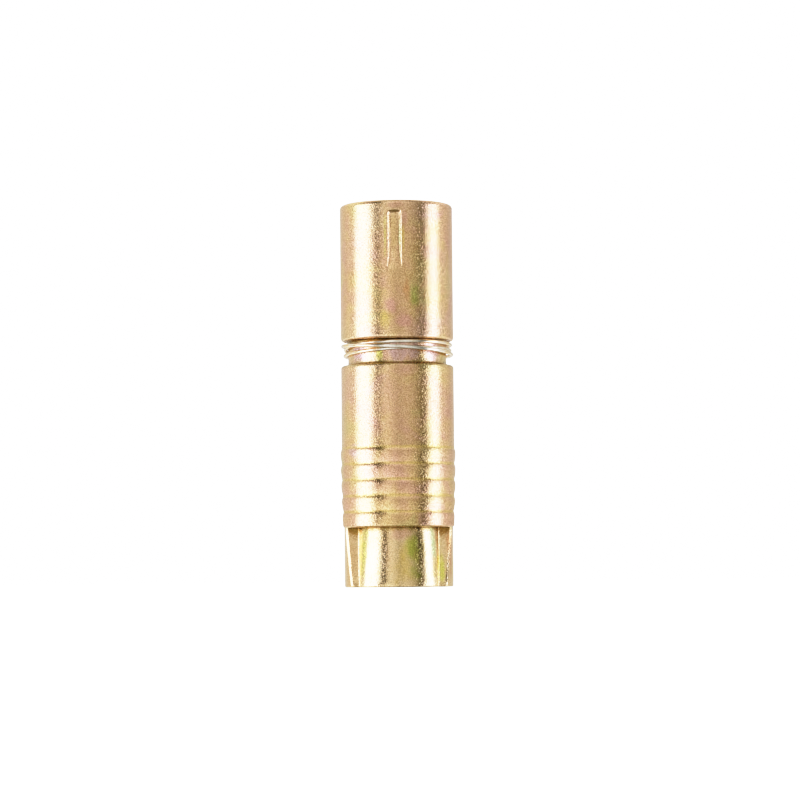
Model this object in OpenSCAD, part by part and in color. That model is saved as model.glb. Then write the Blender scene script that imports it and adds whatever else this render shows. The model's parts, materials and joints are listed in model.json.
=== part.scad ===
// Expansion anchor: two pressed half shells held at the neck by a loose wire ring, with a
// winged wedge nut below. A bolt screwed into the nut draws it up between the shells, the
// wings spread their lower ends, and the shells rock about the neck until the hole grips them.
// The split between the shells lies across X, and the nut's foot stands on Z = 0.

/* [Sleeve] */
// Outside diameter of the plain sleeve
body_d = 15.64; // [15:0.02:16.4]
// Length of the sleeve from its lower end to its mouth
sleeve_len = 44.7; // [42:0.1:52]
// Wall of the pressed half shells
wall = 2.05; // [1.7:0.05:2.2]
// Gap between the two half shells above the slots
split_gap = 1; // [1:0.02:1.4]
// Rounding of the outer edge at the mouth
rim_round = 0.6; // [0.3:0.05:0.8]
// Bevel inside the mouth and inside the lower end
mouth_bevel = 0.35; // [0.2:0.05:0.5]

/* [Neck] */
// Length of the plain collar above the neck
collar_len = 18.95; // [17:0.05:21]
// Width of the groove that holds the wire ring
neck_w = 3.35; // [3:0.05:4]
// Depth of the groove below the plain sleeve
neck_depth = 1; // [0.95:0.01:1.1]
// Rounding of the groove's two outer edges
shoulder_round = 0.45; // [0.2:0.05:0.6]
// Fillet at the groove's upper and lower ends
neck_fillet = 0.3; // [0.1:0.02:0.32]
// Hole inside the neck that guides the bolt
bolt_hole_d = 9.7; // [9.6:0.05:10.2]
// Slope of the pressed ridge behind the groove, along the bore
ridge_slope = 0.9; // [0.6:0.05:1.2]

/* [Grip bands] */
// Number of barbed bands at the lower end
band_count = 5; // [3:1:6]
// Height of one band
band_pitch = 2.2; // [1.9:0.05:2.4]
// How far a band's crest stands above the plain sleeve
band_rise = 0.15; // [0.08:0.01:0.2]
// Where a band has its crest, as a share of its height below its upper edge
crest_share = 0.38; // [0.3:0.02:0.5]
// Rounding of the sleeve's lower outer edge
foot_round = 0.3; // [0.15:0.05:0.4]

/* [Pressed flute] */
// Width of the flute in each collar
flute_w = 2; // [1.4:0.1:2.6]
// Width of each sloping side of the flute
flute_side = 0.35; // [0.2:0.05:0.5]
// Length of the flute with its run-out
flute_len = 7.8; // [6:0.1:10]
// Length of the run-out at the flute's lower end
flute_runout = 1.4; // [1:0.1:3]
// Depth of the flute at its upper end
flute_depth = 0.36; // [0.2:0.02:0.5]
// Depth of the flute where the run-out starts
flute_shallow = 0.26; // [0.2:0.02:0.4]
// Distance from the mouth to the flute
flute_drop = 1.6; // [1:0.05:2.5]
// Rounding of the flute's upper corners
flute_round = 0.5; // [0.3:0.05:0.6]
// Turn of the flute off the middle of its shell
flute_turn = -1.5; // [-4:0.5:4]

/* [Wedge nut] */
// How far the nut stands out of the sleeve
nut_out = 8.2; // [7:0.1:9.5]
// How far the nut reaches into the sleeve
nut_in = 10.8; // [9.5:0.1:11.5]
// How far the wings stop short of the nut's inner end
wing_short = 3.5; // [3.2:0.1:4.5]
// Thickness of a wing at the foot
wing_foot = 7.8; // [7.6:0.1:8]
// Slope of each wing face
wing_taper = 12.4; // [12:0.1:12.7]
// Length of the conical stretch of the core, from the foot upwards
cone_len = 10.8; // [10:0.1:11.5]
// Slope of the conical stretch
cone_taper = 6; // [5.6:0.1:6.2]
// How far the wings stay below the outside of the sleeve
wing_inset = 0.3; // [0.15:0.01:0.4]
// Bevel along the outer edges of the wing faces
wing_bevel = 0.13; // [0.08:0.01:0.18]
// Bevel round the nut's foot
foot_bevel = 0.25; // [0.15:0.05:0.35]
// Minor diameter of the nut's thread
thread_minor_d = 7.98; // [7.8:0.01:8.15]
// Depth of the countersink at both ends of the thread
sink = 0.8; // [0.4:0.1:1]

/* [Wire ring] */
// Diameter of the spring wire
wire_d = 0.52; // [0.4:0.01:0.52]

/* [Fits and motion] */
// Angle that each half shell can rock
rock_angle = 1.3; // [1:0.05:1.3]
// Radial play of the nut's core in the sleeve
core_play = 0.18; // [0.15:0.005:0.25]
// Play between a wing face and its shell
wing_play = 0.05; // [0.04:0.005:0.08]
// Play of the wire ring on the neck
ring_play = 0.05; // [0.05:0.005:0.06]
// Play between two turns of wire where they cross
turn_play = 0.03; // [0.02:0.005:0.04]

/* [Hidden] */
$fn = 96;

body_r = body_d / 2;
bore_r = body_r - wall;
bolt_r = bolt_hole_d / 2;
neck_r = body_r - neck_depth;
sleeve_foot = nut_out;
sleeve_top = sleeve_foot + sleeve_len;
neck_top = sleeve_top - collar_len;
neck_foot = neck_top - neck_w;
rock_z = (neck_top + neck_foot) / 2;
bands_top = sleeve_foot + band_count * band_pitch;
crest_r = body_r + band_rise;
core_r = bore_r - core_play;
nut_r = body_r - wing_inset;
nut_top = nut_out + nut_in;
wing_top = nut_top - wing_short;
slot_taper = wing_taper - rock_angle; // lies flat on the wing when the shells have rocked
wire_r = wire_d / 2;
reach = body_d; // anything that clears the whole anchor
band_steps = 8;
band_knee = 0.3; // where a band's slopes are steepest, as a share of each slope
round_steps = 5;
turn_angle = 7.5; // between two rings of points along the wire
wire_sides = 10;
smooth_angle = 8;

// The way of the wire round the neck, chosen by hand. Each point has its angle from the middle
// of the front shell, its lift from the inner layer (0) to the outer layer (1), and its drop
// below the groove's upper edge, in wire diameters.
COIL = [
    [-160, 0.00, 2.65], [-120, 0.00, 2.60], [-94, 0.00, 2.45], [-78, 0.00, 1.86],
    [-60, 0.00, 1.42], [-45, 0.00, 1.15], [-30, 0.00, 1.00], [0, 0.05, 0.80],
    [26, 0.20, 0.72], [54, 0.35, 0.82], [90, 0.50, 1.07], [180, 0.60, 1.10],
    [258, 0.35, 1.20], [278, 0.95, 1.24], [300, 1.00, 1.42], [318, 1.00, 1.68],
    [342, 1.00, 2.00], [363, 1.00, 2.28], [384, 1.00, 2.62], [396, 0.98, 2.88],
    [422, 0.85, 3.36], [450, 0.72, 3.68], [540, 0.50, 3.95], [620, 0.20, 3.82],
    [655, 0.05, 3.52], [689, 0.00, 3.04], [712, 0.00, 2.64], [734, 0.00, 2.40],
    [758, 0.05, 2.38], [788, 0.25, 2.42], [810, 0.35, 2.52], [885, 0.30, 2.45]
];

// Points of a rounded corner about its centre
function corner(centre, radius, from, to) = [
    for (i = [0 : round_steps])
        let (a = from + (to - from) * i / round_steps)
        centre + radius * [cos(a), sin(a)]
];

// A rounded slope from 0 to 1, steepest at its knee
function slope(x, knee) = x < knee ? x * x / knee : 1 - pow(1 - x, 2) / (1 - knee);

// A point of band i, at a share of the band's height below its upper edge
function band_point(i, share) =
    let (
        rise = slope(share / crest_share, band_knee),
        fall = slope((share - crest_share) / (1 - crest_share), band_knee)
    )
    [body_r + band_rise * (share < crest_share ? rise : 1 - fall), bands_top - (i + share) * band_pitch];

// Outline of the bands, from the lower end upwards. The lowest keeps its width to the foot.
function band_outline() = concat(
    corner([crest_r - foot_round, sleeve_foot + foot_round], foot_round, -90, 0),
    [
        for (i = [band_count - 1 : -1 : 0])
            for (k = [band_steps : -1 : 1])
                if (i < band_count - 1 || k < crest_share * band_steps)
                    band_point(i, k / band_steps)
    ],
    [band_point(0, 0)]
);

// Outline of the neck groove, between the two plain stretches
function neck_outline() = concat(
    corner([body_r - shoulder_round, neck_foot - shoulder_round], shoulder_round, 0, 90),
    corner([neck_r + neck_fillet, neck_foot + neck_fillet], neck_fillet, 270, 180),
    corner([neck_r + neck_fillet, neck_top - neck_fillet], neck_fillet, 180, 90),
    corner([body_r - shoulder_round, neck_top + shoulder_round], shoulder_round, -90, 0)
);

// How much the core widens below its straight stretch, at a height
function cone_rise(z) = tan(cone_taper) * (cone_len - z);

// Outline of the bore, from the mouth downwards, with the ridge that the neck presses inwards
// and the lower end that widens with the nut's core
function bore_outline() =
    let (
        ridge = (neck_w - ridge_slope) / 2,
        lip_z = sleeve_foot + mouth_bevel,
        lip_r = bore_r + cone_rise(lip_z)
    )
    [
        [bore_r + mouth_bevel, sleeve_top],
        [bore_r, sleeve_top - mouth_bevel],
        [bore_r, rock_z + ridge + ridge_slope],
        [bolt_r, rock_z + ridge],
        [bolt_r, rock_z - ridge],
        [bore_r, rock_z - ridge - ridge_slope],
        [bore_r, cone_len],
        [lip_r, lip_z],
        [lip_r + mouth_bevel, sleeve_foot]
    ];

module sleeve_blank() {
    rotate_extrude()
        polygon(concat(
            band_outline(),
            neck_outline(),
            corner([body_r - rim_round, sleeve_top - rim_round], rim_round, 0, 90),
            bore_outline()
        ));
}

// Half the thickness of the wings at a height
function wing_half(z) = wing_foot / 2 - tan(wing_taper) * z;

// Half the width of the slot that takes a wing, at the sleeve's lower end
slot_half = wing_half(sleeve_foot) + wing_play;
slot_top = sleeve_foot + (slot_half - split_gap / 2) / tan(slot_taper);

// A prism across X, from an outline in Y and Z
module across(width) {
    rotate([90, 0, 90])
        linear_extrude(height = width, center = true)
            children();
}

// The space of the front shell, in front of the split and of the tapered slots
module front_space() {
    across(2 * reach)
        polygon([
            [-reach, sleeve_foot - 1],
            [-slot_half - tan(slot_taper), sleeve_foot - 1],
            [-split_gap / 2, slot_top],
            [-split_gap / 2, sleeve_top + 1],
            [-reach, sleeve_top + 1]
        ]);
}

// The pressed flute: rounded at its upper corners, with sloping sides, and running out at
// its lower end
module flute() {
    top = sleeve_top - flute_drop;
    low = top - flute_len;
    half = flute_w / 2;
    rise = flute_depth + 1; // from the floor to well outside the sleeve
    flare = flute_side / flute_depth;
    floor_r = body_r - flute_depth;
    rotate([0, 0, flute_turn])
        intersection() {
            across(2 * flute_w)
                polygon([
                    [-floor_r - rise, top],
                    [-floor_r, top],
                    [-(body_r - flute_shallow), low + flute_runout],
                    [-body_r, low],
                    [-floor_r - rise, low]
                ]);
            linear_extrude(height = top + 1)
                polygon([
                    [flute_side - half, -floor_r],
                    [half - flute_side, -floor_r],
                    [half - flute_side + flare * rise, -floor_r - rise],
                    [flute_side - half - flare * rise, -floor_r - rise]
                ]);
            rotate([90, 0, 0])
                linear_extrude(height = floor_r + rise)
                    union() {
                        translate([-half, low])
                            square([flute_w, flute_len - flute_round]);
                        translate([flute_round - half, low])
                            square([flute_w - 2 * flute_round, flute_len]);
                        for (side = [-1, 1])
                            translate([side * (half - flute_round), top - flute_round])
                                circle(r = flute_round);
                    }
        }
}

module half_shell() {
    difference() {
        intersection() {
            sleeve_blank();
            front_space();
        }
        flute();
    }
}

module front_shell() {
    color([0.82, 0.68, 0.44]) half_shell();
}

module back_shell() {
    color([0.80, 0.67, 0.45]) rotate([0, 0, 180]) half_shell();
}

// A value of the wire's way, smoothed over its neighbours
function on_way(a, column) =
    let (way = [for (p = COIL) [p.x, p[column]]])
    (
        lookup(a - 2 * smooth_angle, way) + lookup(a - smooth_angle, way) + lookup(a, way)
        + lookup(a + smooth_angle, way) + lookup(a + 2 * smooth_angle, way)
    ) / 5;

// Middle of the wire at an angle along its way: radius and height
function coil_middle(a) =
    let (inner = neck_r + ring_play + wire_r, layer = wire_d + turn_play)
    [inner + layer * on_way(a, 1), neck_top - wire_d * on_way(a, 2)];

module wire_ring() {
    start = COIL[0].x;
    rings = floor((COIL[len(COIL) - 1].x - start) / turn_angle);
    points = [
        for (i = [0 : rings])
            let (a = start + i * turn_angle, m = coil_middle(a))
            for (s = [0 : wire_sides - 1])
                let (t = 360 * s / wire_sides, r = m.x + wire_r * cos(t))
                [r * sin(a), -r * cos(a), m.y + wire_r * sin(t)]
    ];
    sides = [
        for (i = [0 : rings - 1])
            for (s = [0 : wire_sides - 1])
                let (n = (s + 1) % wire_sides, low = i * wire_sides, high = low + wire_sides)
                [low + s, low + n, high + n, high + s]
    ];
    ends = [
        [for (s = [wire_sides - 1 : -1 : 0]) s],
        [for (s = [0 : wire_sides - 1]) rings * wire_sides + s]
    ];
    color([0.83, 0.80, 0.70])
        polyhedron(points = points, faces = concat(sides, ends), convexity = 8);
}

// A slab across X that gets thinner upwards
module tapered_slab(half, slope, height) {
    across(2 * reach)
        polygon([
            [-half, 0], [half, 0],
            [half - slope * height, height], [slope * height - half, height]
        ]);
}

// Direction and size of the slab that bevels the wings' outer edges
edge_half = wing_half(0);
edge_turn = asin(edge_half / nut_r);
bevel_turn = (90 + edge_turn) / 2;
bevel_foot = nut_r * cos(bevel_turn - edge_turn) - wing_bevel;
top_half = wing_half(wing_top);
top_turn = asin(top_half / nut_r);
bevel_top = nut_r * cos(bevel_turn - top_turn) - wing_bevel;

module wings() {
    intersection() {
        union() {
            cylinder(r1 = nut_r - foot_bevel, r2 = nut_r, h = foot_bevel);
            translate([0, 0, foot_bevel])
                cylinder(r = nut_r, h = wing_top - 2 * foot_bevel);
            translate([0, 0, wing_top - foot_bevel])
                cylinder(r1 = nut_r, r2 = nut_r - foot_bevel, h = foot_bevel);
        }
        tapered_slab(edge_half, tan(wing_taper), wing_top);
        for (side = [-1, 1])
            rotate([0, 0, side * (90 - bevel_turn)])
                tapered_slab(bevel_foot, (bevel_foot - bevel_top) / wing_top, wing_top);
    }
}

module core() {
    cone_r = core_r + cone_rise(foot_bevel);
    cylinder(r1 = cone_r - foot_bevel, r2 = cone_r, h = foot_bevel);
    translate([0, 0, foot_bevel])
        cylinder(r1 = cone_r, r2 = core_r, h = cone_len - foot_bevel);
    translate([0, 0, cone_len])
        cylinder(r = core_r, h = nut_top - foot_bevel - cone_len);
    translate([0, 0, nut_top - foot_bevel])
        cylinder(r1 = core_r, r2 = core_r - foot_bevel, h = foot_bevel);
}

module wedge_nut() {
    minor_r = thread_minor_d / 2;
    color([0.80, 0.71, 0.40])
        difference() {
            union() {
                core();
                wings();
            }
            translate([0, 0, -1])
                cylinder(r = minor_r, h = nut_top + 2);
            translate([0, 0, -1])
                cylinder(r1 = minor_r + sink + 1, r2 = minor_r, h = sink + 1);
            translate([0, 0, nut_top - sink])
                cylinder(r1 = minor_r, r2 = minor_r + sink + 1, h = sink + 1);
        }
}

front_shell();
back_shell();
wire_ring();
wedge_nut();
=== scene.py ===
# A plated expansion anchor: two pressed half shells, the wire ring round their neck and the winged
# nut between their lower ends, standing on a pale floor in soft studio light.
import json
import math

import bmesh
import bpy
from mathutils import Matrix, Vector


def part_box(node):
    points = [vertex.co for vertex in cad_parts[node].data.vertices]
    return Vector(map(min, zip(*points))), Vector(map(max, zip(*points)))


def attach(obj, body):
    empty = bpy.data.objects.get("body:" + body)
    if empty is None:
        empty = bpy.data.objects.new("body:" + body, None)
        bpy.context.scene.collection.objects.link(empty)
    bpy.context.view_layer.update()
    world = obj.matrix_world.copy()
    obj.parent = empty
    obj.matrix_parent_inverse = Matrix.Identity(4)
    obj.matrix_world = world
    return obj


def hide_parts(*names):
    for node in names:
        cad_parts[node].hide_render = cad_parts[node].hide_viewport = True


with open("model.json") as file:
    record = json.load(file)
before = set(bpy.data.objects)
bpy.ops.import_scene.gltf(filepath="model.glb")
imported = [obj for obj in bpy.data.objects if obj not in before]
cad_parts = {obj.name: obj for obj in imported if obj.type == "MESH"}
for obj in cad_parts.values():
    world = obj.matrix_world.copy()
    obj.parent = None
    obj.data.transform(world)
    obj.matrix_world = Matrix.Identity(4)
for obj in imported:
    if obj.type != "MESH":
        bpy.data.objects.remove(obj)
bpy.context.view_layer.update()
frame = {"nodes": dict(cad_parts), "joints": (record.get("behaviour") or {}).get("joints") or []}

mm = 0.001
hair = 0.0001 * mm  # within this, two heights are the same
mergeReach = 0.0005 * mm
shellLow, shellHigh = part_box("front_shell")
nutLow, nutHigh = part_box("wedge_nut")
hinge = next(j for j in frame["joints"] if j["name"] == "front_half_rock")
neckLevel = hinge["pos_m"][2]
print("frame loaded:", ", ".join(sorted(frame["nodes"])))


# Small helpers for modelling by hand
def choose(piece):
    # makes a piece the only selected one, and the active one
    bpy.ops.object.select_all(action="DESELECT")
    piece.select_set(True)
    bpy.context.view_layer.objects.active = piece


def startEdit(piece):
    choose(piece)
    bpy.ops.object.mode_set(mode="EDIT")
    bpy.ops.mesh.select_mode(type="VERT")
    bpy.ops.mesh.select_all(action="DESELECT")


def endEdit():
    bpy.ops.object.mode_set(mode="OBJECT")


def pickEdges(piece, test):
    # selects the edges that pass the test, and nothing else
    bpy.ops.mesh.select_mode(type="EDGE")
    bpy.ops.mesh.select_all(action="DESELECT")
    form = bmesh.from_edit_mesh(piece.data)
    for edge in form.edges:
        if test(edge):
            edge.select_set(True)
    form.select_flush_mode()
    bmesh.update_edit_mesh(piece.data)


def finishWith(piece, kind, settings):
    # adds one modifier and applies it
    choose(piece)
    modifier = piece.modifiers.new(kind.title(), kind)
    for name, value in settings.items():
        setattr(modifier, name, value)
    bpy.ops.object.modifier_apply(modifier=modifier.name)


def tidyNormals(piece):
    startEdit(piece)
    bpy.ops.mesh.select_all(action="SELECT")
    bpy.ops.mesh.remove_doubles(threshold=mergeReach)
    bpy.ops.mesh.normals_make_consistent(inside=False)
    endEdit()


def smoothSides(piece, angle):
    choose(piece)
    bpy.ops.object.shade_smooth_by_angle(angle=math.radians(angle))


def drawCurve(name, points, closed):
    # a curve that runs straight from point to point
    curve = bpy.data.curves.new(name, "CURVE")
    curve.dimensions = "3D"
    spline = curve.splines.new("POLY")
    spline.points.add(len(points) - 1)
    for knot, point in zip(spline.points, points):
        knot.co = (*point, 1)
    spline.use_cyclic_u = closed
    return curve


def meshFrom(name, curve):
    piece = bpy.data.objects.new(name, curve)
    bpy.context.scene.collection.objects.link(piece)
    choose(piece)
    bpy.ops.object.convert(target="MESH")
    return bpy.context.view_layer.objects.active


def arc(centre, radius, start, end, steps=6):
    turns = [math.radians(start + (end - start) * i / steps) for i in range(steps + 1)]
    return [(centre[0] + radius * math.cos(t), centre[1] + radius * math.sin(t)) for t in turns]


def smoothStep(x):
    x = min(1, max(0, x))
    return x * x * (3 - 2 * x)


def softRamp(x, soft):
    # a straight slope from 0 to 1 with both ends rounded
    x = min(1, max(0, x))
    if x > 0.5:
        return 1 - softRamp(1 - x, soft)
    return x * x / (2 * soft * (1 - soft)) if x < soft else (x - soft / 2) / (1 - soft)


# The half shells: an outline spun half round and squeezed to the split, with the flute pressed in,
# then closed and bevelled
sleeve = {
    "wall": 2.05 * mm,
    "splitGap": 1.0 * mm,  # between the half shells above the slots
    "rimRound": 0.6 * mm,
    "mouthBevel": 0.35 * mm,
    "footRound": 0.3 * mm,
    "neckWidth": 3.35 * mm,
    "neckDepth": 1.0 * mm,
    "neckFillet": 0.3 * mm,
    "shoulderRound": 0.45 * mm,
    "boltHole": 9.7 * mm,  # in the ridge inside the neck
    "ridgeSlope": 0.9 * mm,  # height of the slopes that lead up to that ridge
    "bandCount": 5,
    "bandPitch": 2.2 * mm,
    "bandRise": 0.15 * mm,
    "crestShare": 0.38,  # of a band's height, from its upper edge down to its crest
    "riseKnee": 0.22,  # where the way up to a crest is steepest, as a share of it
    "fallKnee": 0.88,  # and where the way down is
    "fallSwell": 0.8,  # how much of the way down is curved: 0 straight, 1 a full curve
    "slotPlay": 0.05 * mm,  # beside a wing at the sleeve's foot
    "slotTaper": 11.1,  # degrees
    "columns": 180,  # of faces, round one half shell
    "columnCrowding": 0.66,  # how much closer the columns stand at the flute
    "edgeBevel": 0.11 * mm,
    "edgeSegments": 2,
    "smoothAngle": 40,  # degrees
    "longStep": 0.55 * mm,  # between the points of the spun outline
    "fineStep": 0.11 * mm,  # and as high as the flute, on the outside
    "fineMargin": 0.3 * mm,  # above and below the flute
    "fineSkin": 0.5 * mm,  # the fine steps start this far out of the bore
    "leastStep": 0.002 * mm,  # a point nearer than this to the one before is left out
}
flute = {
    "width": 2.04 * mm,
    "leftSide": 0.48 * mm,
    "rightSide": 0.42 * mm,
    "leastSide": 0.02 * mm,  # where the flute runs out
    "soft": 0.09,  # share of a side that is rounded at its edge and again at its foot
    "length": 8.6 * mm,
    "runout": 3.2 * mm,
    "runoutSoft": 0.12,  # share of the run-out that is rounded at each of its ends
    "depth": 0.45 * mm,  # at its upper end
    "shallow": 0.40 * mm,  # where it starts to run out
    "slant": 0.20,  # how much deeper the floor's left edge is, and how much shallower its right
    "drop": 1.4 * mm,  # from the mouth of the collar
    "cornerRound": 0.6 * mm,
    "squareness": 3.0,  # of its upper corners: 2 is a plain round
    "turn": -1.75,  # degrees off the middle of the shell
    "skin": 0.7 * mm,  # what lies nearer to the bore isn't pressed
}
nut = {
    "wingFoot": 7.8 * mm,  # thickness of a wing at the nut's foot
    "wingTaper": 12.4,  # degrees, of each face of a wing
    "wingShort": 3.5 * mm,  # from the wings' top to the nut's
    "wingBevel": 0.13 * mm,
    "footBevel": 0.25 * mm,
    "footSteps": 4,
    "coreRadius": 5.59 * mm,
    "coneLength": 10.8 * mm,
    "coneTaper": 6.0,  # degrees
    "innerRound": 0.3 * mm,  # where a wing meets the core
    "edgeBevel": 0.035 * mm,
    "bevelAngle": 24,  # degrees; only sharper edges are bevelled
    "smoothAngle": 32,  # degrees
    "rowHeight": 0.6 * mm,  # between levels
    "parts": (34, 6, 8, 3, 12),  # columns of a quarter: core, inner round, wing face, bevel, rim
}

sleeveFoot, sleeveTop = shellLow.z, shellHigh.z
sleeveRadius = -shellLow.y - sleeve["bandRise"]
boreRadius = sleeveRadius - sleeve["wall"]
neckTop = neckLevel + sleeve["neckWidth"] / 2
neckFoot = neckLevel - sleeve["neckWidth"] / 2
fluteTop = sleeveTop - flute["drop"]
bandsTop = sleeveFoot + sleeve["bandCount"] * sleeve["bandPitch"]


def wingHalf(z):
    return nut["wingFoot"] / 2 - math.tan(math.radians(nut["wingTaper"])) * z


def coneRise(z):
    # how much the core, and the bore round it, widen below their straight stretch
    return math.tan(math.radians(nut["coneTaper"])) * max(0, nut["coneLength"] - z)


slotSlope = math.tan(math.radians(sleeve["slotTaper"]))
slotHalf = wingHalf(sleeveFoot) + sleeve["slotPlay"]
slotTop = sleeveFoot + (slotHalf - sleeve["splitGap"] / 2) / slotSlope


def splitHalf(z):
    # half the gap between the half shells at a height
    return max(sleeve["splitGap"] / 2, slotHalf - slotSlope * (z - sleeveFoot))


def roundedSlope(x, knee):
    # from 0 to 1, steepest at the knee
    return x * x / knee if x < knee else 1 - (1 - x) ** 2 / (1 - knee)


def bandPoint(i, share):
    # a point of band i, counted from the top, at a share of its height from its upper edge down
    crest = sleeve["crestShare"]
    if share < crest:
        height = roundedSlope(share / crest, sleeve["riseKnee"])
    else:
        fall, swell = (share - crest) / (1 - crest), sleeve["fallSwell"]
        height = 1 - fall * (1 - swell) - roundedSlope(fall, sleeve["fallKnee"]) * swell
    return sleeveRadius + sleeve["bandRise"] * height, bandsTop - (i + share) * sleeve["bandPitch"]


def bandOutline():
    # from the lower end upwards; the lowest band keeps its width to the foot
    steps, last = 30, sleeve["bandCount"] - 1
    points = [bandPoint(i, k / steps) for i in range(last, -1, -1) for k in range(steps, 0, -1)
              if i < last or k < sleeve["crestShare"] * steps]
    return points + [bandPoint(0, 0)]


def sleeveOutline():
    r, shoulder, fillet = sleeveRadius, sleeve["shoulderRound"], sleeve["neckFillet"]
    neck = r - sleeve["neckDepth"]
    foot, rim, bevel = sleeve["footRound"], sleeve["rimRound"], sleeve["mouthBevel"]
    bolt = sleeve["boltHole"] / 2
    ridge = (sleeve["neckWidth"] - sleeve["ridgeSlope"]) / 2
    slope = sleeve["ridgeSlope"]
    lowest = r + sleeve["bandRise"]
    outside = (
        arc((lowest - foot, sleeveFoot + foot), foot, -90, 0)
        + bandOutline()
        + arc((r - shoulder, neckFoot - shoulder), shoulder, 0, 90)
        + arc((neck + fillet, neckFoot + fillet), fillet, 270, 180, steps=4)
        + arc((neck + fillet, neckTop - fillet), fillet, 180, 90, steps=4)
        + arc((r - shoulder, neckTop + shoulder), shoulder, -90, 0)
        + arc((r - rim, sleeveTop - rim), rim, 0, 90, steps=8)
    )
    inside = [
        (boreRadius + bevel, sleeveTop), (boreRadius, sleeveTop - bevel),
        (boreRadius, neckLevel + ridge + slope), (bolt, neckLevel + ridge),
        (bolt, neckLevel - ridge), (boreRadius, neckLevel - ridge - slope),
        (boreRadius, nut["coneLength"]),
        (boreRadius + coneRise(sleeveFoot + bevel), sleeveFoot + bevel),
        (boreRadius + coneRise(sleeveFoot + bevel) + bevel, sleeveFoot),
    ]
    return outside + inside


def spacing(r, z):
    margin, outside = sleeve["fineMargin"], r > boreRadius + sleeve["fineSkin"]
    nearFlute = fluteTop - flute["length"] - margin < z < fluteTop + margin
    return sleeve["fineStep"] if nearFlute and outside else sleeve["longStep"]


def spread(points, levels):
    # adds points along the long stretches of a closed outline, and at each level that it crosses
    filled = []
    for (r0, z0), (r1, z1) in zip(points, points[1:] + points[:1]):
        stops = [(level - z0) / (z1 - z0) for level in levels if (level - z0) * (level - z1) < 0]
        stops = [0.0] + sorted(stops) + [1.0]
        for a, b in zip(stops, stops[1:]):
            length = math.hypot(r1 - r0, z1 - z0) * (b - a)
            zMid = z0 + (z1 - z0) * (a + b) / 2
            count = max(1, math.ceil(length / spacing(r0, zMid)))
            shares = [a + (b - a) * k / count for k in range(count)]
            filled += [(r0 + (r1 - r0) * s, z0 + (z1 - z0) * s) for s in shares]
    clean = []
    for point in filled:
        if not clean or math.dist(point, clean[-1]) > sleeve["leastStep"]:
            clean.append(point)
    return clean


def fluteDepth(along, z):
    # how deep the flute is pressed, at a distance from its middle line and a height
    low = fluteTop - flute["length"]
    share = (fluteTop - z) / (flute["length"] - flute["runout"])
    floor = flute["depth"] + (flute["shallow"] - flute["depth"]) * min(1, max(0, share))
    floor *= softRamp((z - low) / flute["runout"], flute["runoutSoft"])
    half, corner = flute["width"] / 2, flute["cornerRound"]
    floor *= 1 - flute["slant"] * min(1, max(-1, along / half))
    left, right = flute["leftSide"], flute["rightSide"]
    side = left + (right - left) * smoothStep(along / half + 0.5)
    side = max(flute["leastSide"], side * floor / flute["depth"])  # the sides keep their slope
    dx = max(0, abs(along) - (half - corner))
    dz = max(0, z - (fluteTop - corner))
    power = flute["squareness"]
    inside = corner - (dx ** power + dz ** power) ** (1 / power)  # how far in from the edge
    return floor * softRamp(inside / side, flute["soft"])


def columnPlace(share):
    # from an even share, -1 to 1, to one that crowds the columns towards the flute
    crowd = sleeve["columnCrowding"]
    middle = math.radians(flute["turn"]) / (math.pi / 2)
    return share * (1 - crowd + crowd * share * share) + middle * (1 - share * share)


def squeezeToSplit(piece):
    # moves the spun columns so that the outermost lie on the split, and presses the flute
    middle = math.radians(flute["turn"])
    for v in piece.data.vertices:
        r, z = math.hypot(v.co.x, v.co.y), v.co.z
        share = math.atan2(v.co.x, -v.co.y) / (math.pi / 2)
        a = columnPlace(share) * math.acos(splitHalf(z) / r)
        if r > boreRadius + flute["skin"]:
            r -= fluteDepth((a - middle) * sleeveRadius, z)
        v.co = (r * math.sin(a), -r * math.cos(a), z)


def closeSplitFaces(piece):
    # one face above the slot's upper end and one below it, on each side
    startEdit(piece)
    for side in (-1, 1):
        for way in (1, -1):
            pickEdges(piece, lambda e: e.is_boundary and all(
                v.co.x * side > 0 and (v.co.z - slotTop) * way > -hair for v in e.verts))
            bpy.ops.mesh.edge_face_add()
    endEdit()


def bevelSplitEdges(piece):
    # the split faces have many corners, and all the others four at most
    startEdit(piece)
    pickEdges(piece, lambda e: len(e.link_faces) == 2
              and sum(len(f.verts) > 4 for f in e.link_faces) == 1)
    bpy.ops.mesh.bevel(offset=sleeve["edgeBevel"], segments=sleeve["edgeSegments"],
                       affect="EDGES", clamp_overlap=False)
    endEdit()


def makeShell(name):
    outline = [(r, 0, z) for r, z in spread(sleeveOutline(), [slotTop])]
    piece = meshFrom(name, drawCurve(name, outline, closed=True))
    startEdit(piece)
    bpy.ops.mesh.select_all(action="SELECT")
    bpy.ops.mesh.spin(steps=sleeve["columns"], angle=math.pi, center=(0, 0, 0), axis=(0, 0, 1))
    endEdit()
    squeezeToSplit(piece)
    closeSplitFaces(piece)
    tidyNormals(piece)
    bevelSplitEdges(piece)
    smoothSides(piece, sleeve["smoothAngle"])
    return piece


frontShell = makeShell("frontShell")
backShell = frontShell.copy()
backShell.data = frontShell.data.copy()
backShell.name = "backShell"
bpy.context.scene.collection.objects.link(backShell)
backShell.data.transform(Matrix.Rotation(math.pi, 4, "Z"))
print("half shells made:", len(frontShell.data.polygons), "faces each")


# The winged nut: a rod shaped level by level to a cone with two tapered wings, softened and tapped
thread = {
    "minorRadius": 3.99 * mm,
    "depth": 0.8 * mm,
    "pitch": 25.4 / 16 * mm,
    "crestShare": 0.2,  # of the pitch, flat at the crest
    "rootShare": 0.14,
    "sink": 0.8 * mm,  # depth of the sunk ends
    "sides": 72,
    "rowsPerTurn": 16,
    "spare": 0.4 * mm,  # how far the tap stands out at both ends
}
nutTop = nutHigh.z
nutRadius = nutHigh.x
wingTop = nutTop - nut["wingShort"]


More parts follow.
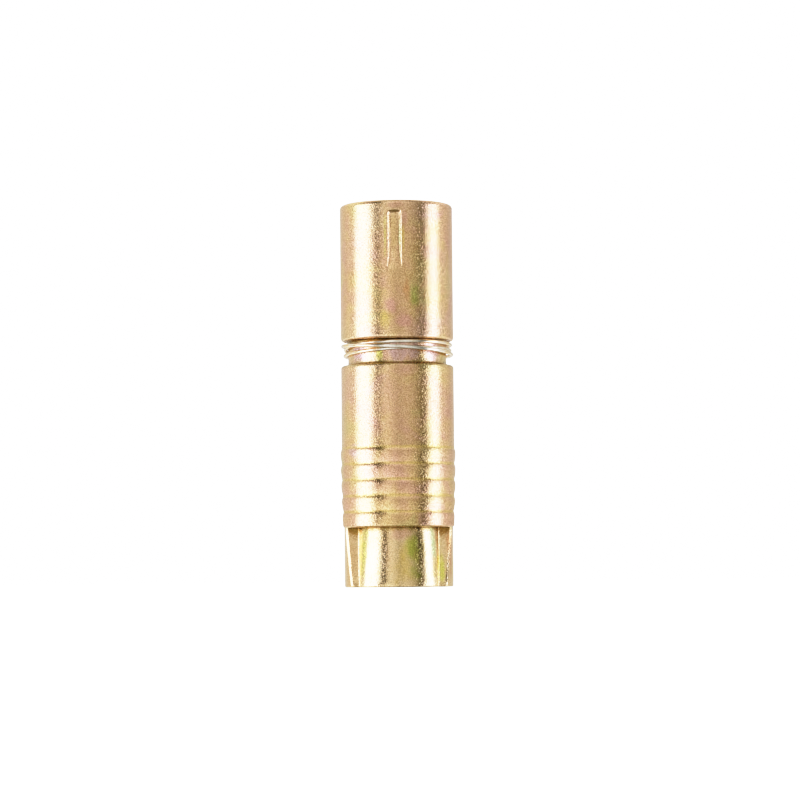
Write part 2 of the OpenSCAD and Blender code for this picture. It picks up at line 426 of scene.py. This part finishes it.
def between(first, last, count):
    # even steps that start at the first value and stop before the last
    return [first + (last - first) * i / count for i in range(count)]


def nutQuarter(z, inset):
    # a quarter of the nut's outline at a height, from the middle of the front to that of a wing
    core = nut["coreRadius"] + coneRise(z) - inset
    rim, half, fillet = nutRadius - inset, wingHalf(z) - inset, nut["innerRound"]
    coreCount, filletCount, faceCount, bevelCount, rimCount = nut["parts"]
    filletX = math.sqrt((core + fillet) ** 2 - (half + fillet) ** 2)
    onCore = math.asin(filletX / (core + fillet))
    corner = math.asin(half / rim)
    slant = (math.pi / 2 + corner) / 2
    reach = rim * math.cos(slant - corner) - nut["wingBevel"]
    faceEnd = (reach - half * math.sin(slant)) / math.cos(slant)
    rimEnd = slant - math.acos(reach / rim)
    points = [(core * math.sin(a), -core * math.cos(a)) for a in between(0, onCore, coreCount)]
    points += [(filletX - fillet * math.sin(a), fillet * math.cos(a) - half - fillet)
               for a in between(onCore, 0, filletCount)]
    points += [(x, -half) for x in between(filletX, faceEnd, faceCount)]
    bevelStart, bevelEnd = (faceEnd, -half), (rim * math.cos(rimEnd), -rim * math.sin(rimEnd))
    points += list(zip(between(bevelStart[0], bevelEnd[0], bevelCount),
                       between(bevelStart[1], bevelEnd[1], bevelCount)))
    return points + [(rim * math.cos(a), -rim * math.sin(a)) for a in between(rimEnd, 0, rimCount)]


def coreQuarter(z, inset):
    # the same number of points round the core alone, above the wings
    turns = between(0, math.pi / 2, sum(nut["parts"]))
    core = nut["coreRadius"] + coneRise(z) - inset
    return [(core * math.sin(a), -core * math.cos(a)) for a in turns]


def nutRings():
    # every level of the nut from the foot upwards: its height and its quarter outline
    bevel, count = nut["footBevel"], nut["footSteps"]
    turns = [math.radians(90 * i / count) for i in range(count + 1)]
    upper = [(bevel * math.sin(a), bevel * (1 - math.cos(a))) for a in turns]  # rise and inset
    rings = [(bevel * (1 - math.cos(a)), nutQuarter(0, bevel * (1 - math.sin(a)))) for a in turns]
    steps = round((wingTop - 2 * bevel) / nut["rowHeight"])
    rings += [(z, nutQuarter(z, 0)) for z in between(bevel, wingTop - bevel, steps)[1:]]
    rings += [(wingTop - bevel + rise, nutQuarter(wingTop, inset)) for rise, inset in upper]
    rings.append((wingTop, coreQuarter(wingTop, 0)))
    rings += [(nutTop - bevel + rise, coreQuarter(nutTop, inset)) for rise, inset in upper]
    return rings


def makeRod(name, sides, radius, foot, height, rows):
    # a cylinder whose wall is cut into rows of faces
    bpy.ops.mesh.primitive_cylinder_add(
        vertices=sides, radius=radius, depth=height, location=(0, 0, height / 2 + foot))
    rod = bpy.context.active_object
    rod.name = name
    bpy.ops.object.transform_apply(location=True, rotation=True, scale=True)
    startEdit(rod)
    pickEdges(rod, lambda e: abs(e.verts[0].co.z - e.verts[1].co.z) > height / 2)
    bpy.ops.mesh.subdivide(number_cuts=rows - 1)
    endEdit()
    return rod


def makeBlank():
    # a rod with one ring of points for each level, and each ring set to its outline
    rings = nutRings()
    quarterCount = sum(nut["parts"])
    count, height = 4 * quarterCount, nutTop - nutLow.z
    blank = makeRod("wedgeNut", count, nutRadius, 0, height, len(rings) - 1)
    for v in blank.data.vertices:
        z, quarter = rings[round(v.co.z / height * (len(rings) - 1))]
        column = round(math.atan2(v.co.x, -v.co.y) / math.tau * count) % count
        turn, place = divmod(column, quarterCount)
        if turn % 2:
            place = quarterCount - place
        tip = (math.hypot(*quarter[-1]), 0) if place == quarterCount else quarter[place]
        right, front = (1, 1, -1, -1)[turn], (1, -1, -1, 1)[turn]
        v.co = (tip[0] * right, tip[1] * front, z)
    return blank


def threadRadius(turn, z):
    # the wall of the threaded hole, with its sunk ends
    share = (z / thread["pitch"] - turn / (2 * math.pi)) % 1
    flank = (1 - thread["crestShare"] - thread["rootShare"]) / 2
    away = abs(share - 0.5)  # 0.5 at the middle of the crest, 0 at the middle of the root
    rise = min(1, max(0, (0.5 - thread["crestShare"] / 2 - away) / flank))
    helix = thread["minorRadius"] + thread["depth"] * rise
    end = min(z - nutLow.z, nutTop - z)
    return max(helix, thread["minorRadius"] + thread["sink"] - end)


def makeTap():
    # a rod with the thread's shape, a little longer than the nut
    height = nutTop - nutLow.z + 2 * thread["spare"]
    rows = round(thread["rowsPerTurn"] * height / thread["pitch"])
    tap = makeRod("tap", thread["sides"], thread["minorRadius"], -thread["spare"], height, rows)
    for v in tap.data.vertices:
        turn = math.atan2(v.co.y, v.co.x)
        r = threadRadius(turn, v.co.z)
        v.co = (r * math.cos(turn), r * math.sin(turn), v.co.z)
    return tap


def makeNut():
    piece = makeBlank()
    tidyNormals(piece)
    finishWith(piece, "BEVEL", {
        "width": nut["edgeBevel"], "segments": 2, "limit_method": "ANGLE",
        "angle_limit": math.radians(nut["bevelAngle"]), "use_clamp_overlap": True})
    tap = makeTap()
    finishWith(piece, "BOOLEAN", {"operation": "DIFFERENCE", "solver": "EXACT", "object": tap})
    bpy.data.objects.remove(tap)
    for v in piece.data.vertices:
        v.co.z = max(nutLow.z, v.co.z)
    tidyNormals(piece)
    smoothSides(piece, nut["smoothAngle"])
    return piece


wedgeNut = makeNut()
print("wedge nut made:", len(wedgeNut.data.polygons), "faces")


# The wire ring: nearly three turns of spring wire that cross once at the front
wire = {
    "diameter": 0.52 * mm,
    "play": 0.05 * mm,  # between the neck and the inner layer
    "turnPlay": 0.03 * mm,  # between the layers
    "step": 3.0,  # degrees between rings
    "smooth": 8.0,  # degrees between the places on the way that make up one point's mean
    "smoothReach": 2,  # how many of them lie on each side of it
    "roundness": 3,  # gives the section ten sides
    "smoothAngle": 50,  # degrees
}
# each place: angle from the front, lift from the inner to the outer layer, and drop below the
# groove's top in wire diameters
wireWay = [
    (-160, 0.00, 2.65), (-120, 0.00, 2.60), (-94, 0.00, 2.45), (-78, 0.00, 1.86),
    (-60, 0.00, 1.42), (-45, 0.00, 1.15), (-30, 0.00, 1.00), (0, 0.05, 0.80),
    (26, 0.20, 0.72), (54, 0.35, 0.82), (90, 0.50, 1.07), (180, 0.60, 1.10),
    (258, 0.35, 1.20), (278, 0.95, 1.24), (300, 1.00, 1.42), (318, 1.00, 1.68),
    (342, 1.00, 2.00), (363, 1.00, 2.28), (384, 1.00, 2.62), (396, 0.98, 2.88),
    (422, 0.85, 3.36), (450, 0.72, 3.68), (540, 0.50, 3.95), (620, 0.20, 3.82),
    (655, 0.05, 3.52), (689, 0.00, 3.04), (712, 0.00, 2.64), (734, 0.00, 2.40),
    (758, 0.05, 2.38), (788, 0.25, 2.42), (810, 0.35, 2.52), (885, 0.30, 2.45),
]


def onWay(angle, column):
    if angle <= wireWay[0][0]:
        return wireWay[0][column]
    for before, after in zip(wireWay, wireWay[1:]):
        if angle <= after[0]:
            share = (angle - before[0]) / (after[0] - before[0])
            return before[column] + (after[column] - before[column]) * share
    return wireWay[-1][column]


def wirePoint(angle):
    reach = wire["smoothReach"]
    near = [angle + k * wire["smooth"] for k in range(-reach, reach + 1)]
    lift, drop = (sum(onWay(a, column) for a in near) / len(near) for column in (1, 2))
    inner = sleeveRadius - sleeve["neckDepth"] + wire["play"] + wire["diameter"] / 2
    r = inner + (wire["diameter"] + wire["turnPlay"]) * lift
    turn = math.radians(angle)
    return r * math.sin(turn), -r * math.cos(turn), neckTop - wire["diameter"] * drop


def makeWire():
    start, end = wireWay[0][0], wireWay[-1][0]
    count = round((end - start) / wire["step"])
    points = [wirePoint(start + i * wire["step"]) for i in range(count + 1)]
    curve = drawCurve("wireRing", points, closed=False)
    curve.bevel_depth = wire["diameter"] / 2
    curve.bevel_resolution = wire["roundness"]
    curve.use_fill_caps = True
    piece = meshFrom("wireRing", curve)
    tidyNormals(piece)
    smoothSides(piece, wire["smoothAngle"])
    return piece


wireRing = makeWire()
print("wire ring made:", len(wireRing.data.polygons), "faces")


# Finishes
class Signal:
    # an output socket that arithmetic joins with Math nodes
    def __init__(self, board, socket):
        self.board, self.socket = board, socket

    def join(self, operation, first, second):
        return self.board.node("Math", {"operation": operation}, {0: first, 1: second})

    def __add__(self, other):
        return self.join("ADD", self, other)

    def __radd__(self, other):
        return self.join("ADD", other, self)

    def __sub__(self, other):
        return self.join("SUBTRACT", self, other)

    def __rsub__(self, other):
        return self.join("SUBTRACT", other, self)

    def __mul__(self, other):
        return self.join("MULTIPLY", self, other)

    def __rmul__(self, other):
        return self.join("MULTIPLY", other, self)


class Board:
    # the nodes of one finish, or of the studio
    def __init__(self, tree):
        self.tree = tree
        tree.nodes.clear()

    def node(self, kind, settings, values, output=0):
        # adds a node: first its settings, then the values or links of its sockets
        node = self.tree.nodes.new("ShaderNode" + kind)
        for name, value in settings.items():
            if name == "stops":
                for i, (place, colour) in enumerate(value):
                    stops = node.color_ramp.elements
                    stop = stops[i] if i < 2 else stops.new(place)
                    stop.position, stop.color = place, (*colour, 1)
            else:
                setattr(node, name, value)
        for name, value in values.items():
            if isinstance(value, Signal):
                self.tree.links.new(value.socket, node.inputs[name])
            else:
                node.inputs[name].default_value = value
        return Signal(self, node.outputs[output]) if node.outputs else node

    def noise(self, place, size, detail=2.0, warp=0.0, rough=0.5, output=0):
        # size is how far apart the blotches lie, in metres; output 1 gives a noise colour
        return self.node("TexNoise", {}, {
            "Vector": place, "Scale": 1 / size, "Detail": detail, "Distortion": warp,
            "Roughness": rough}, output)

    def range(self, value, low, high, toLow=0.0, toHigh=1.0):
        return self.node("MapRange", {"interpolation_type": "SMOOTHSTEP"}, {
            0: value, 1: low, 2: high, 3: toLow, 4: toHigh})

    def tint(self, share, first, second, way="MIX"):
        colours = [c if isinstance(c, Signal) else (*c, 1) for c in (first, second)]
        return self.node("Mix", {"data_type": "RGBA", "blend_type": way},
                         {0: share, 6: colours[0], 7: colours[1]}, 2)

    def ramp(self, value, stops):
        return self.node("ValToRGB", {"stops": stops}, {0: value})

    def levels(self, value, stops):
        # a ramp of plain numbers, which may rise above 1
        most = max(level for place, level in stops)
        grey = self.ramp(value, [(place, (level / most,) * 3) for place, level in stops])
        return self.node("RGBToBW", {}, {0: grey}) * most


tones = {
    "rose": (0.84, 0.52, 0.38),
    "tan": (0.87, 0.58, 0.35),
    "gold": (0.89, 0.63, 0.32),
    "olive": (0.80, 0.64, 0.30),
    "green": (0.62, 0.60, 0.20),
    "silver": (0.88, 0.66, 0.47),
    "blush": (0.86, 0.50, 0.40),
    "copper": (0.80, 0.46, 0.22),
    "straw": (0.88, 0.66, 0.22),
    "lilac": (0.81, 0.56, 0.53),
    "leaf": (0.58, 0.60, 0.14),
    "lemon": (0.84, 0.80, 0.20),
    "cream": (0.95, 0.72, 0.42),
    "umber": (0.42, 0.33, 0.13),
    "mint": (0.80, 0.90, 0.50),
    "brown": (0.50, 0.28, 0.12),
    "pewter": (0.90, 0.80, 0.64),
    "steel": (0.92, 0.90, 0.84),
}
# What the three finishes share. A range is where a pattern starts and where it is full.
pattern = {
    "patchStops": (0.32, 0.46, 0.56, 0.68),  # where each of the four tones lies on the noise
    "veilRange": (0.45, 0.70),
    "veilShare": 0.5,  # of the veil's tone in the colour, at most
    "raggedSize": 0.9 * mm,  # of the noise that frays the edges of stains and of painted shade and highlights
    "stainRange": (0.3, 1.1),  # a stain or painted mark starts to fade here and ends here, in its own half sizes
    "grainRange": (0.34, 0.66),
    "roughRange": (0.3, 0.7),
    "roughShare": 0.25,  # size of the dull spots, as a share of the patches'
    "pitRange": (0.56, 0.68),
}
# Each stain, painted shade or painted highlight: x, z, distance from the axis, half width, half
# height (all in mm), tone, strength.
# With a distance of 0 and a half width of 22 or more it is a ring round the whole piece.
plating = {
    "patches": ("rose", "tan", "gold", "olive"),
    "veil": "silver",
    "patchSize": 5.5 * mm,
    "veilSize": 15 * mm,
    "grainSize": 0.15 * mm,
    "grainShades": ((0.74, 0.67, 0.56), (1.16, 1.17, 1.20)),
    "peelSize": 0.16 * mm,
    "peelDepth": 0.026 * mm,
    "pitSize": 0.22 * mm,
    "pitDepth": 0.010 * mm,
    "waveSize": 2.6 * mm,
    "waveDepth": 0.014 * mm,
    "roughness": (0.08, 0.15),
    "stains": [
        (0.3, 20, 7.8, 2.6, 13, "rose", 0.45), (0.2, 44, 7.8, 2.4, 10, "tan", 0.5),
        (2.3, 39.6, 7.5, 0.9, 2.0, "green", 0.95), (1.4, 40.6, 7.7, 0.7, 1.8, "copper", 0.8),
        (-1.7, 36.6, 7.6, 0.9, 1.6, "straw", 0.85), (-0.8, 38.4, 7.8, 1.1, 1.2, "blush", 0.8),
        (0.9, 36.2, 7.8, 1.6, 1.2, "blush", 0.8), (-0.3, 48.5, 7.5, 0.8, 4.0, "green", 0.35),
        # painted shade: a dark line down the right side of the flute's floor, in its recess
        (0.38, 48.0, 7.5, 0.2, 4.6, "umber", 0.6),
        (-1.6, 43.0, 7.6, 0.9, 2.6, "rose", 0.4), (-6.0, 18.6, 7.8, 1.4, 1.2, "lilac", 0.7),
        (-2.4, 32.3, 6.8, 0.7, 2.0, "lemon", 0.8), (-1.5, 32.3, 6.8, 0.6, 2.0, "rose", 0.7),
        (-0.5, 32.3, 6.8, 0.9, 2.0, "lilac", 1.0), (0.7, 32.3, 6.8, 1.1, 2.0, "lilac", 0.9),
        (2.2, 32.3, 6.8, 1.2, 2.0, "lilac", 0.8), (-5.2, 32.3, 6.8, 2.2, 2.0, "lilac", 1.0),
        (4.9, 32.3, 6.8, 2.2, 2.0, "lilac", 1.0), (-7.0, 15, 7.8, 1.8, 4.5, "rose", 0.6),
        (0.0, 52.2, 7.8, 1.7, 0.6, "blush", 0.45),
        # the first stain here is painted shade: a thin dark arch along the flute's upper edge
        (-0.29, 51.36, 7.6, 1.0, 0.22, "umber", 0.5), (-0.3, 48.6, 7.4, 0.8, 3.6, "copper", 0.3),
        (-1.5, 48.0, 7.7, 0.3, 3.6, "lemon", 0.6), (0.95, 47.6, 7.7, 0.3, 3.6, "straw", 0.8),
        (0.55, 48.0, 7.6, 0.3, 4.0, "mint", 0.5),
        (1.1, 50.4, 7.8, 0.6, 1.6, "rose", 0.7),
        # painted shade: dark rings round the neck, under the collar's ledge and in the crease at
        # the neck's foot
        (0, 33.72, 0, 22, 0.38, "umber", 0.95), (0, 30.6, 0, 22, 0.45, "umber", 0.9),
        # painted shade: a dark ring along the sleeve's foot, where it overhangs the nut
        (0, 8.1, 0, 22, 0.45, "umber", 0.9)],
}
# painted highlight: a yellow line in the valley above each band, a little below the band's upper
# edge
valleys = [bandsTop - i * sleeve["bandPitch"] for i in range(sleeve["bandCount"])]
plating["stains"] += [(0, z / mm - 0.08, 0, 22, 0.32, "straw", 0.62) for z in valleys]
nutPlating = {
    "patches": ("gold", "cream", "cream", "straw"),
    "veil": "cream",
    "patchSize": 6.0 * mm,
    "veilSize": 9 * mm,
    "grainSize": 0.16 * mm,
    "grainShades": ((0.86, 0.82, 0.72), (1.10, 1.10, 1.12)),
    "peelSize": 0.17 * mm,
    "peelDepth": 0.018 * mm,
    "pitSize": 0.24 * mm,
    "pitDepth": 0.010 * mm,
    "waveSize": 2.2 * mm,
    "waveDepth": 0.006 * mm,
    "roughness": (0.06, 0.12),
    "stains": [
        (1.8, 5.4, 5.8, 1.5, 2.6, "leaf", 0.95), (2.1, 2.0, 5.8, 1.4, 2.6, "leaf", 0.8),
        (0.3, 7.2, 5.7, 2.0, 1.0, "rose", 0.7), (-1.4, 4.4, 5.8, 1.2, 4.0, "tan", 0.5),
        (0.5, 2.6, 5.8, 1.6, 2.4, "straw", 0.6), (-4.6, 4.0, 5.9, 1.1, 5.0, "lemon", 0.8),
        (4.5, 6.0, 5.9, 0.8, 3.0, "mint", 0.9), (4.7, 1.4, 5.9, 0.7, 1.8, "lilac", 0.8),
        (-6.2, 3.0, 7.1, 1.4, 6.0, "cream", 0.8), (5.9, 2.6, 6.8, 0.55, 5.0, "lemon", 0.95),
        # the umber stripe on the cone is painted reflection: it widens the dark band over the left
        # edge of the right highlight
        (-6.4, 4.0, 7.1, 1.2, 7.0, "copper", 0.35), (3.2, 4.4, 6.1, 0.5, 6.5, "umber", 0.9),
        # the brown stains at 8 mm on the wing faces and the umber ring at 8.5 mm are painted shade
        # under the sleeve's foot
        (6.9, 4.5, 7.3, 0.8, 5.0, "copper", 0.95), (-6.2, 8.0, 7.0, 1.6, 1.2, "brown", 0.85),
        (6.2, 8.0, 7.0, 1.6, 1.2, "brown", 0.85), (0, 8.5, 0, 24, 0.9, "umber", 0.9),
        # painted shade: a dark ring along the nut's foot, at the floor
        (0, -0.1, 0, 24, 0.35, "umber", 0.8)],
}
springPlating = {
    "patches": ("cream", "pewter", "cream", "pewter"),
    "veil": "steel",
    "patchSize": 5.0 * mm,
    "veilSize": 4 * mm,
    "grainSize": 0.14 * mm,
    "grainShades": ((0.92, 0.90, 0.84), (1.05, 1.05, 1.05)),
    "peelSize": 0.2 * mm,
    "peelDepth": 0.002 * mm,
    "pitSize": 0.3 * mm,
    "pitDepth": 0.001 * mm,
    "waveSize": 1.4 * mm,
    "waveDepth": 0.003 * mm,
    "roughness": (0.12, 0.22),
    "stains": [(0.5, 32.6, 7.6, 5.0, 2.5, "steel", 0.9)],
}


def addStainsAndPaintedLight(board, place, colour, stains):
    # tints a colour by one ragged ball after another: stains, and the painted shade and painted
    # highlights listed with them
    ragged = board.noise(place, pattern["raggedSize"], detail=3, output=1)
    ragged = board.node("VectorMath", {"operation": "SUBTRACT"}, {0: ragged, 1: (0.5,) * 3})
    for x, z, reach, width, height, tone, strength in stains:
        middle = (x * mm, -math.sqrt(reach ** 2 - x ** 2) * mm, z * mm)
        away = board.node("VectorMath", {"operation": "SUBTRACT"}, {0: place, 1: middle})
        away = board.node("VectorMath", {"operation": "MULTIPLY_ADD"}, {
            0: away, 1: (1 / (width * mm), 1 / (width * mm), 1 / (height * mm)), 2: ragged})
        away = board.node("VectorMath", {"operation": "LENGTH"}, {0: away}, 1)
        share = board.range(away, *pattern["stainRange"], strength, 0.0)
        colour = board.tint(share, colour, tones[tone])
    return colour


def makePlating(name, look):
    material = bpy.data.materials.new(name)
    material.use_nodes = True
    board = Board(material.node_tree)
    place = board.node("TexCoord", {}, {}, "Object")
    patches = board.noise(place, look["patchSize"], detail=3, warp=0.5, rough=0.55)
    colour = board.ramp(patches, [
        (stop, tones[tone]) for stop, tone in zip(pattern["patchStops"], look["patches"])])
    veil = board.noise(place, look["veilSize"], warp=0.3)
    veil = board.range(veil, *pattern["veilRange"], 0.0, pattern["veilShare"])
    colour = board.tint(veil, colour, tones[look["veil"]])
    colour = addStainsAndPaintedLight(board, place, colour, look["stains"])
    grain = board.noise(place, look["grainSize"], rough=0.6)
    grain = board.tint(board.range(grain, *pattern["grainRange"]), *look["grainShades"])
    colour = board.tint(1.0, colour, grain, "MULTIPLY")
    roughness = board.noise(place, look["patchSize"] * pattern["roughShare"], detail=3)
    roughness = board.range(roughness, *pattern["roughRange"], *look["roughness"])
    peel = board.noise(place, look["peelSize"], rough=0.6)
    wave = board.noise(place, look["waveSize"])
    pits = board.range(board.noise(place, look["pitSize"], detail=1), *pattern["pitRange"])
    height = peel * look["peelDepth"] + wave * look["waveDepth"] - pits * look["pitDepth"]
    normal = board.node("Bump", {}, {"Height": height, "Distance": 1.0, "Strength": 1.0})
    shader = board.node("BsdfPrincipled", {}, {
        "Base Color": colour, "Metallic": 1.0, "Roughness": roughness, "Normal": normal})
    board.node("OutputMaterial", {}, {"Surface": shader})
    return material


sleeveFinish = makePlating("sleevePlating", plating)
nutFinish = makePlating("nutPlating", nutPlating)
springFinish = makePlating("springPlating", springPlating)
for piece, material in ((frontShell, sleeveFinish), (backShell, sleeveFinish),
                        (wedgeNut, nutFinish), (wireRing, springFinish)):
    piece.data.materials.clear()
    piece.data.materials.append(material)
print("finishes made")

# Bodies and CAD nodes: each piece hangs on its body and its CAD node is hidden; the finish slot
# listed on each row is not used here
for piece, body, node, slot in (
    (frontShell, "front_half", "front_shell", "sleeve_plating"),
    (backShell, "back_half", "back_shell", "sleeve_plating"),
    (wireRing, "ring", "wire_ring", "spring_wire"),
    (wedgeNut, "wedge", "wedge_nut", "nut_plating"),
):
    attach(piece, body)
    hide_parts(node)

# Camera, floor and light
view = {
    "distance": 430 * mm,
    "height": 1.0 * mm,  # the camera looks up from just over the floor
    "aimX": 0.33 * mm,
    "aimZ": 25.87 * mm,
    "roll": -0.52,  # degrees
    "lens": 140.0,
    "nearest": 10 * mm,
}
studio = {
    "floorColour": (0.93, 0.93, 0.93),
    "floorGlow": 2.4,  # bright enough for the film's white
    "floorRadius": 1.2,  # metres
    "floorSides": 96,
    "below": 0.32,  # brightness of the room straight below
    "belowRange": (0.60, 0.85),  # sines downwards over which the room fades to it
    # brightness round the horizon by azimuth: 0 behind the camera, 90 on the right
    "horizon": [
        (-180, 0.80), (-125, 0.82), (-112, 1.0), (-103, 0.80), (-95, 0.40), (-56, 0.28),
        (-50, 0.50), (-46, 0.62), (-41, 0.80), (-37, 0.92), (-31, 1.0), (-23, 1.04),
        (-15, 0.88), (-8, 0.70), (-3, 0.56), (4, 0.50), (9, 0.62), (16, 0.74), (26, 0.64),
        (34, 0.54), (41, 0.48), (47, 0.34), (52, 0.22), (58, 0.19), (63, 0.28), (90, 0.28),
        (98, 0.56), (105, 0.88), (115, 0.80), (124, 0.70), (135, 0.66), (180, 0.80)],
    # brightness for the sine of the elevation, as a share of the horizon's
    "climb": [(-0.60, 1.6), (-0.38, 1.6), (-0.30, 1.35), (-0.24, 1.15), (-0.06, 1.0), (0.10, 1.0),
              (0.28, 0.92), (0.36, 1.1), (0.44, 1.35), (0.74, 1.4), (0.85, 1.0), (1.0, 0.95)],
    # dark cards: azimuths of both edges, sines of the elevations of both ends, how dark; each edge
    # and end fades from the first of its two values to the second
    "cards": [
        ((-50, -44), (-38, -32), (-0.06, 0.03), (0.13, 0.18), 0.97),
        ((-46, -40), (-33, -27), (0.13, 0.18), (0.28, 0.34), 1.0),
        ((48, 54), (64, 70), (0.13, 0.18), (0.28, 0.34), 0.50),
        ((-60, -52), (-32, -24), (0.28, 0.34), (0.80, 0.90), 0.90),
        ((38, 46), (59, 65), (-0.55, -0.40), (-0.07, -0.01), 0.70)],
    # and a narrow bright strip beside the second one, that the nut's cone shows
    "strip": ((-58, -54), (-48, -44), (0.13, 0.18), (0.28, 0.34), 1.3),
    "boxColour": (0.75, 0.79, 1.0),
    "boxAim": 30 * mm,  # height that the softboxes face
    "warmth": (0.06, 0.25),  # how much green and blue a dark stretch of the room lacks
}
# each softbox: azimuth and elevation in degrees, distance, width and height in metres, radiance
softboxes = {
    "leftWide": (-73.5, -7, 0.62, 0.50, 0.72, 0.8),
    "leftCore": (-73.0, -7, 0.60, 0.38, 0.66, 3.0),
    "rightWideLow": (79.1, -14.5, 0.62, 0.353, 0.52, 0.8),
    "rightWideHigh": (82.8, 15.5, 0.62, 0.265, 0.165, 0.8),
    "rightCoreLow": (79.5, -14.5, 0.60, 0.263, 0.50, 3.0),
    "rightCoreHigh": (83.2, 15.5, 0.60, 0.18, 0.16, 3.0),
}
# how the picture answers to brightness, like film: brightness in the scene, level on the picture
film = {
    "white": 2.4,
    "curve": [(0.05, 0.036), (0.10, 0.083), (0.20, 0.185), (0.32, 0.31), (0.45, 0.45), (0.60, 0.60),
              (0.75, 0.725), (0.90, 0.815), (1.10, 0.89), (1.45, 0.955), (1.9, 0.985)],
}


def makeCamera():
    data = bpy.data.cameras.new("camera")
    data.lens = view["lens"]
    data.clip_start = view["nearest"]
    camera = bpy.data.objects.new("camera", data)
    bpy.context.scene.collection.objects.link(camera)
    camera.location = (view["aimX"], -view["distance"], view["height"])
    aim = Vector((view["aimX"], 0, view["aimZ"])) - camera.location
    turn = aim.to_track_quat("-Z", "Y").to_matrix().to_4x4()
    turn @= Matrix.Rotation(math.radians(view["roll"]), 4, "Z")
    camera.matrix_world = Matrix.Translation(camera.location) @ turn
    bpy.context.scene.camera = camera


def makeFloor():
    bpy.ops.mesh.primitive_circle_add(
        vertices=studio["floorSides"], radius=studio["floorRadius"], fill_type="NGON")
    floor = bpy.context.active_object
    floor.name = "floor"
    material = bpy.data.materials.new("paleFloor")
    material.use_nodes = True
    board = Board(material.node_tree)
    white = (*studio["floorColour"], 1)
    lit = board.node("BsdfDiffuse", {}, {"Color": white})
    glow = board.node("Emission", {}, {"Color": white, "Strength": studio["floorGlow"]})
    both = board.node("AddShader", {}, {0: lit, 1: glow})
    board.node("OutputMaterial", {}, {"Surface": both})
    floor.data.materials.append(material)
    floor.visible_glossy = False  # the plating mirrors the studio below it too
    floor.visible_shadow = False


def makeSoftbox(name, azimuth, elevation, distance, width, height, radiance):
    a, e = math.radians(azimuth), math.radians(elevation)
    away = Vector((math.sin(a) * math.cos(e), -math.cos(a) * math.cos(e), math.sin(e)))
    middle = Vector((0, 0, studio["boxAim"]))
    bpy.ops.object.light_add(type="AREA", location=middle + away * distance)
    box = bpy.context.active_object
    box.name = name
    box.rotation_euler = away.to_track_quat("Z", "Y").to_euler()
    box.data.shape = "RECTANGLE"
    box.data.size, box.data.size_y = width, height
    box.data.energy = radiance * math.pi * width * height
    box.data.color = studio["boxColour"]
    box.visible_camera = False


def makeWindow(board, turn, z, left, right, foot, head):
    # 1 within a soft-edged window on the surroundings, 0 outside
    left, right = ([math.radians(a) for a in edge] for edge in (left, right))
    across = board.range(turn, *left) * board.range(turn, *right, 1.0, 0.0)
    return across * board.range(z, *foot) * board.range(z, *head, 1.0, 0.0)


def makeStudio():
    world = bpy.data.worlds.new("studio")
    world.use_nodes = True
    bpy.context.scene.world = world
    board = Board(world.node_tree)
    direction = board.node("TexCoord", {}, {}, "Generated")
    x, y, z = (board.node("SeparateXYZ", {}, {0: direction}, i) for i in range(3))
    turn = board.node("Math", {"operation": "ARCTAN2"}, {0: x, 1: 0 - y})
    level = board.levels(turn * (1 / math.tau) + 0.5, [
        (azimuth / 360 + 0.5, share) for azimuth, share in studio["horizon"]])
    level = level * board.levels(z * 0.5 + 0.5, [
        (sine / 2 + 0.5, share) for sine, share in studio["climb"]])
    level = level + (studio["below"] - level) * board.range(0 - z, *studio["belowRange"])
    for *edges, dark in studio["cards"]:
        level = level * (1 - makeWindow(board, turn, z, *edges) * dark)
    *edges, light = studio["strip"]
    level = level + makeWindow(board, turn, z, *edges) * light
    green, blue = (level * (1 - (1 - level) * lack) for lack in studio["warmth"])
    colour = board.node("CombineColor", {}, {0: level, 1: green, 2: blue})
    seen = board.node("LightPath", {}, {}, "Is Camera Ray")
    colour = board.tint(seen, colour, (film["white"],) * 3)
    background = board.node("Background", {}, {"Color": colour, "Strength": 1.0})
    board.node("OutputWorld", {}, {"Surface": background})


def loadFilm():
    settings = bpy.context.scene.view_settings
    settings.view_transform = "Standard"
    settings.use_curve_mapping = True
    settings.curve_mapping.white_level = (film["white"],) * 3
    curve = settings.curve_mapping.curves[3]
    for brightness, level in film["curve"]:
        curve.points.new(brightness / film["white"], level)
    settings.curve_mapping.update()


makeCamera()
makeFloor()
for name, place in softboxes.items():
    makeSoftbox(name, *place)
makeStudio()
loadFilm()
print("studio made")
